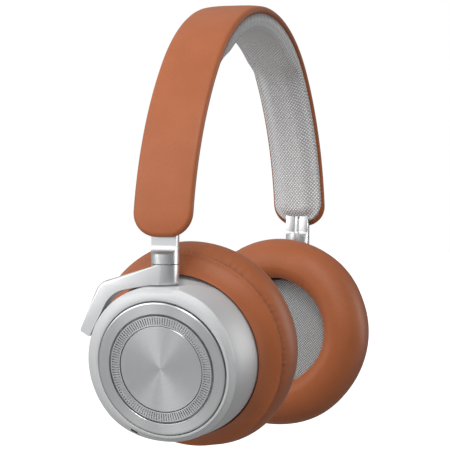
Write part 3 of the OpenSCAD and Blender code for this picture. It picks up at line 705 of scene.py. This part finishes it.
edge_a, edge_r = 24.9, 1.1        # where the shoulder's soft edge meets the wall
housing = revolved("housing_drawn", [(floor_a, 0), (floor_a, housing_r - shoulder_r),
                                     (rim_a - 0.35, housing_r - shoulder_r)]
                   + arc(rim_a - 0.35, housing_r - shoulder_r + 0.35, 0.35, -90, 0, 3)[1:]
                   + [(27.45, 29.9), (27.2, 30.8), (26.85, 31.7), (26.4, 32.5)]
                   + arc(edge_a, housing_r - edge_r, edge_r, 62, 90, 5)
                   + [(a, housing_r) for a in (24, 23, 22, 21, 20, 18, 16, 14, 12, 10, 8, 6, 4, 2)]
                   + [(back_a, housing_r)]
                   + [(a, housing_r - wall) for a in (back_a, 4, 8, 12, 16, 18)]
                   + arc(18.9, 28.6, 3.8, 80, 0, 8) + [(floor_a - wall - 0.2, 20), (floor_a - wall - 0.2, 0)],
                   steps=180)
for vertex in housing.data.vertices:
    a, y, w = vertex.co / mm
    radius = math.hypot(y, w)
    if radius > housing_r - shoulder_r + 0.6:
        lean = ease((-0.75 * y - 0.66 * w) / radius, -0.2, 0.75) * ease(a, 8, 26)
        factor = 1 - 2.3 * lean * ease(radius, 29, 33) / radius
        y, w = y * factor, w * factor
    out, high, back = a - pivot_a, w - pivot_w, y + cup_y
    reach = math.hypot(out, high)
    if high > 6 and radius > 26:
        limit = relief_r - relief_drop * ease(back, 4.4, 17) + 2.2 * ease(-back, -relief_y0 - 1.5, -relief_y0 + 5)
        limit += 9 * ease(-a, -6.4, -4.4)
        if radius < housing_r - wall + 0.5 and a < floor_a - wall:
            limit -= wall
        blend = 0.35
        keep = limit - blend * math.log1p(math.exp(min((limit - reach) / blend, 40)))
        out, high = out * keep / reach, high * keep / reach
    vertex.co = Vector((out + pivot_a, y, high + pivot_w)) * mm

# Satin lacquer over aluminium flake: pale grey with a soft sheen and a fine sparkle.
shell, tree, shader = new_material("satin_silver_lacquer")
place = add_node(tree, "TexCoord")
flakes = add_node(tree, "TexVoronoi", {"Scale": 1 / (0.3 * mm)}, {"Vector": place.outputs["Object"]})
flake = add_node(tree, "ValToRGB", links={0: flakes.outputs["Color"]})
flake.color_ramp.elements[0].color = hex_colour("#CFD0D1")
flake.color_ramp.elements[1].color = hex_colour("#D6D7D8")
tree.links.new(flake.outputs[0], shader.inputs["Base Color"])
peel = add_node(tree, "TexNoise", {"Scale": 1 / (0.8 * mm)}, {"Vector": place.outputs["Object"]})
skin = add_node(tree, "Bump", {"Strength": 0.05, "Distance": 0.02 * mm}, {"Height": peel.outputs[0]})
tree.links.new(skin.outputs[0], shader.inputs["Normal"])
shader.inputs["Metallic"].default_value = 0.2
shader.inputs["Roughness"].default_value = 0.46
wear(housing, shell)
port_turn, port_r, port_half = math.radians(-62), housing_r - 2.6, 0.6
for side in sides:
    piece = copy_of(housing, f"housing_{side}_drawn")
    bpy.ops.object.select_all(action="DESELECT")
    bpy.ops.mesh.primitive_cube_add(size=1, location=(24.5 * mm, port_r * math.cos(port_turn) * mm,
                                                      port_r * math.sin(port_turn) * mm),
                                    rotation=(port_turn, 0, 0))
    slot = bpy.context.object
    slot.scale = Vector((6, 2 * port_half, 2 + 2 * port_half)) * mm
    bpy.ops.object.transform_apply(location=True, rotation=True, scale=True)
    cut_away(piece, slot)
    in_cup(piece, side)
    smooth(piece, 30)
    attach(piece, f"cup_{side}")
    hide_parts(f"housing_{side}")
    wear(nodes[f"tilt_bush_{side}"], nylon)
    wear(nodes[f"mic_port_{side}"], nylon)
bpy.data.objects.remove(housing)


# ---- Discs ------------------------------------------------------------------------------------
# An aluminium disc faced on a lathe, whose circular marks catch the light in two bright fans, a
# ring cut with 120 radial slots, and a flat touch plate with the same turned face.
disc_r, ring_r, plate_r = 28.05, 23.2, 18.1
chamfer = 0.3


def polar_uv(piece):
    """A UV map of the turn about the cup's axis and the radius in units of 100 mm."""
    layer = piece.data.uv_layers.new(name="lay")
    layer.active_render = True
    for face in piece.data.polygons:
        middle_turn = math.atan2(face.center.y, face.center.z)
        for index in face.loop_indices:
            point = piece.data.vertices[piece.data.loops[index].vertex_index].co
            radius = math.hypot(point.y, point.z)
            turn = math.atan2(point.y, point.z) if radius > 0.1 * mm else middle_turn
            turn = middle_turn + (turn - middle_turn + math.pi) % (2 * math.pi) - math.pi
            layer.data[index].uv = (turn / (2 * math.pi), radius / (100 * mm))


# Aluminium faced on a lathe and clear anodised: pale, with concentric tool marks that stretch each
# highlight into a fan. The marks are 0.1 mm apart and are drawn at 0.35 mm so that they show.
turned, tree, shader = new_material("lathe_turned_aluminium")
place = add_node(tree, "TexCoord")
marks = add_node(tree, "Mapping", {"Scale": (0.5, 100 / 0.35, 0)}, {"Vector": place.outputs["UV"]})
rings = add_node(tree, "TexNoise", {"Scale": 1.0, "Detail": 3.0}, {"Vector": marks.outputs[0]})
cut = add_node(tree, "ValToRGB", links={0: rings.outputs[0]})
cut.color_ramp.elements[0].color = hex_colour("#D6D7D8")
cut.color_ramp.elements[1].color = hex_colour("#EDEEEF")
tree.links.new(cut.outputs[0], shader.inputs["Base Color"])
groove = add_node(tree, "Bump", {"Strength": 0.1, "Distance": 0.02 * mm}, {"Height": rings.outputs[0]})
tree.links.new(groove.outputs[0], shader.inputs["Normal"])
grain_way = add_node(tree, "Tangent", direction_type="UV_MAP", uv_map="lay")
tree.links.new(grain_way.outputs[0], shader.inputs["Tangent"])
shader.inputs["Metallic"].default_value = 1.0
shader.inputs["Roughness"].default_value = 0.3
shader.inputs["Anisotropic"].default_value = 0.92
shader.inputs["Anisotropic Rotation"].default_value = 0.25

rim = revolved("outer_disc_turned", [
    (floor_a + 0.1, ring_r + 0.1), (face_a - 0.12, ring_r + 0.1), (face_a, ring_r + 0.22)]
    + [(face_a, ring_r + 1.2), (face_a, disc_r - 1.5), (face_a, disc_r - chamfer - 0.2)]
    + [(face_a - chamfer, disc_r), (floor_a + 0.1, disc_r)], 180)
plate = revolved("touch_plate_turned", [
    (floor_a + 0.1, 0), (floor_a + 0.1, plate_r), (face_a - 0.2, plate_r), (face_a - 0.05, plate_r - 0.15)]
    + [(face_a - 0.05, r) for r in (17, 14, 11, 8, 5, 2.5, 1, 0)], 180)
for part, node in ((rim, "outer_disc"), (plate, "touch_plate")):
    polar_uv(part)
    wear(part, turned)
    for side in sides:
        piece = copy_of(part, f"{node}_{side}_turned")
        in_cup(piece, side)
        smooth(piece, 30)
        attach(piece, f"cup_{side}")
        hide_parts(f"{node}_{side}")
    bpy.data.objects.remove(part)
for side in sides:
    piece = copy_of(nodes[f"slot_ring_{side}"], f"slot_ring_{side}_turned")
    piece.matrix_world = Matrix.Identity(4)
    piece.data.transform(cup_frame(side).inverted() @ nodes[f"slot_ring_{side}"].matrix_world)
    polar_uv(piece)
    piece.data.transform(cup_frame(side))
    wear(piece, turned)
    smooth(piece, 30)
    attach(piece, f"cup_{side}")
    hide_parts(f"slot_ring_{side}")


# ---- Inside the cups --------------------------------------------------------------------------
# Each cup holds a baffle with a 40 mm driver, its magnet and diaphragm, four screws and a board,
# and the left cup holds the battery.
laminate = plain_material("green_circuit_laminate", "#1F5A38", 0.4)
pouch = plain_material("grey_foil_pouch", "#4A4E55", 0.35, metallic=0.3)
for side in sides:
    for node in ("baffle", "driver_frame", "cushion_plate"):
        wear(nodes[f"{node}_{side}"], nylon)
    for node in ("baffle_screws", "driver_magnet"):
        wear(nodes[f"{node}_{side}"], spring_steel)
    wear(nodes[f"driver_diaphragm_{side}"], polyimide)
    wear(nodes[f"circuit_board_{side}"], laminate)
wear(nodes["battery"], pouch)


# ---- Ear cushions -----------------------------------------------------------------------------
# A ring of foam in tan leather, closed by a pinched seam to a leather skirt that is pulled back
# over the housing's rim. The leather gathers in fine pleats at the seam and round the ear opening.
cushion_r, ear_r, tube_r, tube_a, seam_r = 45.5, 25.7, 13.7, -11.5, 42.0
tube_c = cushion_r - tube_r
foam_r = tube_r - 0.7             # the cloth swells by about this much
seam = (-2.0, seam_r - 1.6)
cushion = revolved("cushion_sewn", [seam]
                   + arc(tube_a, tube_c, foam_r, 45, 172, 22)
                   + arc(tube_a - foam_r + 7.6, tube_c + 0.6, 7.6, 180, 252, 8)[1:]
                   + [(-16.5, ear_r + 0.15), (-14, ear_r + 0.1), (-11, ear_r + 0.1), (-8, ear_r + 0.2),
                      (-4.6, ear_r + 0.5), (-4.45, 30), (-4.45, 35), (-4.45, 40.8), (-2.4, 41.3)], 200)
rest = [v.co.copy() for v in cushion.data.vertices]
held = cushion.vertex_groups.new(name="sewn")
for vertex in cushion.data.vertices:
    a, radius = vertex.co.x / mm, math.hypot(vertex.co.y, vertex.co.z) / mm
    sewn = a > -4.7 or math.hypot(a - seam[0], radius - seam[1]) < 1.2
    glued = a > -15 and radius < ear_r + 1
    if sewn or glued:
        held.add([vertex.index], 1.0, "REPLACE")
cloth = cushion.modifiers.new("leather", "CLOTH")
cloth.settings.quality = 6
cloth.settings.mass = 0.3
cloth.settings.use_pressure = True
cloth.settings.uniform_pressure_force = 4
cloth.settings.tension_stiffness = cloth.settings.compression_stiffness = 25
cloth.settings.bending_stiffness = 1.5
cloth.settings.vertex_group_mass = "sewn"
cloth.settings.effector_weights.gravity = 0
for step in range(1, 21):
    bpy.context.scene.frame_set(step)
bpy.ops.object.select_all(action="DESELECT")
cushion.select_set(True)
bpy.context.view_layer.objects.active = cushion
bpy.ops.object.modifier_apply(modifier="leather")
bpy.context.scene.frame_set(1)
swell = 0.9 * mm
for vertex, start in zip(cushion.data.vertices, rest):
    moved = vertex.co - start
    if moved.length > swell:
        vertex.co = start + moved.normalized() * swell
finer = cushion.modifiers.new("finer", "SUBSURF")
finer.levels = finer.render_levels = 1
bpy.ops.object.select_all(action="DESELECT")
cushion.select_set(True)
bpy.context.view_layer.objects.active = cushion
bpy.ops.object.modifier_apply(modifier="finer")


def gathers(turn, count, phase):
    """Uneven pleats round a seam, from 0 to 1, as a hand-fed machine leaves them."""
    wander = 2.2 * math.sin(5 * turn + phase) + 1.6 * math.sin(9 * turn + 2.1 * phase) + math.sin(23 * turn)
    strength = 0.55 + 0.45 * math.sin(7 * turn + 1.7 * phase) * math.sin(3 * turn + phase)
    return strength * (0.5 + 0.5 * math.sin(count * turn + wander))


cushion.data.update()
normals = [v.normal.copy() for v in cushion.data.vertices]
for vertex, normal in zip(cushion.data.vertices, normals):
    a, radius = vertex.co.x / mm, math.hypot(vertex.co.y, vertex.co.z) / mm
    turn = math.atan2(vertex.co.y, vertex.co.z)
    if a > -26 and radius > 30:
        away = math.hypot(a - seam[0], radius - seam[1])
        sink = 0.42 * gathers(turn, 92, 0.6) * math.exp(-((away - 1.8) / 2.6) ** 2)
        sink += 0.12 * gathers(turn, 61, 2.9) * math.exp(-(away / 8) ** 2)
    else:
        sink = 0.36 * gathers(turn, 64, 1.3) * math.exp(-((a + 18) / 4.5) ** 2)
    dimple = 0.12 * (math.sin(3 * turn + 0.4) + math.sin(7 * turn + a / 5))
    vertex.co -= normal * (sink + dimple) * mm
lay_uv(cushion, lambda p: (math.atan2(p.y, p.z) / (2 * math.pi), p.x / (100 * mm)))
wear(cushion, calf)

skirt = revolved("skirt_sewn", [(-1.65, 35), (-1.65, 41.3), (-1.5, 42.0), (-1.05, 42.3), (-0.55, 42.15), (-0.35, 41.7),
                                (-0.2, 41.3), (0.35, 40.4), (1.1, 39.4), (2.0, 38.4), (3.1, 37.4), (4.3, 36.5),
                                (5.5, 35.8), (6.4, 35.35), (6.8, 35.0), (6.7, 34.6), (6.2, 34.45), (2, 34.45),
                                (-1.4, 34.45)], 240)
skirt.data.update()
for vertex in skirt.data.vertices:
    a, radius = vertex.co.x / mm, math.hypot(vertex.co.y, vertex.co.z) / mm
    turn = math.atan2(vertex.co.y, vertex.co.z)
    near_seam = math.exp(-((radius - 40.6) / 1.6) ** 2) if a > -0.4 else 0
    vertex.co.x -= 0.1 * gathers(turn, 80, 1.9) * near_seam * mm
wear(skirt, calf)

# The speaker cloth is stretched over the baffle's rim and dished in the middle. Open plain weave of
# grey yarn, its holes 0.9 mm apart.
dish = revolved("cloth_stretched", [(-12.05, 0)]
                + [(-12.05 - 1.1 * (r / 25) ** 2, r) for r in (3, 6, 9, 12, 15, 18, 21, 23, 24.4)]
                + [(-13.0, 25.0), (-12.4, 25.25), (-11.9, 25.2), (-11.9, 12), (-11.9, 0)], 120)
lay_uv(dish, lambda p: (p.y / (100 * mm), p.z / (100 * mm)))
weave, tree, shader = new_material("grey_speaker_weave")
hole = 0.9 * mm
place = add_node(tree, "TexCoord")
yarns = []
for turn in (40, -50):
    turned_way = add_node(tree, "Mapping", {"Rotation": (0, 0, math.radians(turn))}, {"Vector": place.outputs["UV"]})
    yarns.append(add_node(tree, "TexWave", {"Scale": 0.314159 * 0.1 / hole, "Distortion": 0.8,
                                            "Detail Scale": 3.0}, {"Vector": turned_way.outputs[0]}))
mesh_holes = add_node(tree, "Math", links={0: yarns[0].outputs["Fac"], 1: yarns[1].outputs["Fac"]},
                      operation="MULTIPLY")
thread = add_node(tree, "ValToRGB", links={0: mesh_holes.outputs[0]})
thread.color_ramp.elements[0].color = hex_colour("#707374")
thread.color_ramp.elements[1].position = 0.45
thread.color_ramp.elements[1].color = hex_colour("#C6C9CA")
tree.links.new(thread.outputs[0], shader.inputs["Base Color"])
threads = add_node(tree, "Bump", {"Strength": 0.6, "Distance": 0.2 * mm}, {"Height": mesh_holes.outputs[0]})
tree.links.new(threads.outputs[0], shader.inputs["Normal"])
shader.inputs["Roughness"].default_value = 0.8
wear(dish, weave)

for side in sides:
    for part, node, slot_name in ((cushion, "cushion_pad", "tan_leather"), (skirt, "cushion_skirt", "tan_leather"),
                                  (dish, "speaker_cloth", "speaker_fabric")):
        piece = copy_of(part, f"{node}_{side}_soft")
        in_cup(piece, side)
        smooth(piece, 60)
        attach(piece, f"cup_{side}")
        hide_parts(f"{node}_{side}")
for part in (cushion, skirt, dish):
    bpy.data.objects.remove(part)


# ---- Sockets and controls ---------------------------------------------------------------------
# A charging socket and a power slide on the right cup, and a jack socket and a button on the left.
wear(nodes["charge_socket"], spring_steel)
wear(nodes["jack_socket"], nylon)
wear(nodes["power_slide"], nylon)
wear(nodes["action_button"], blasted)
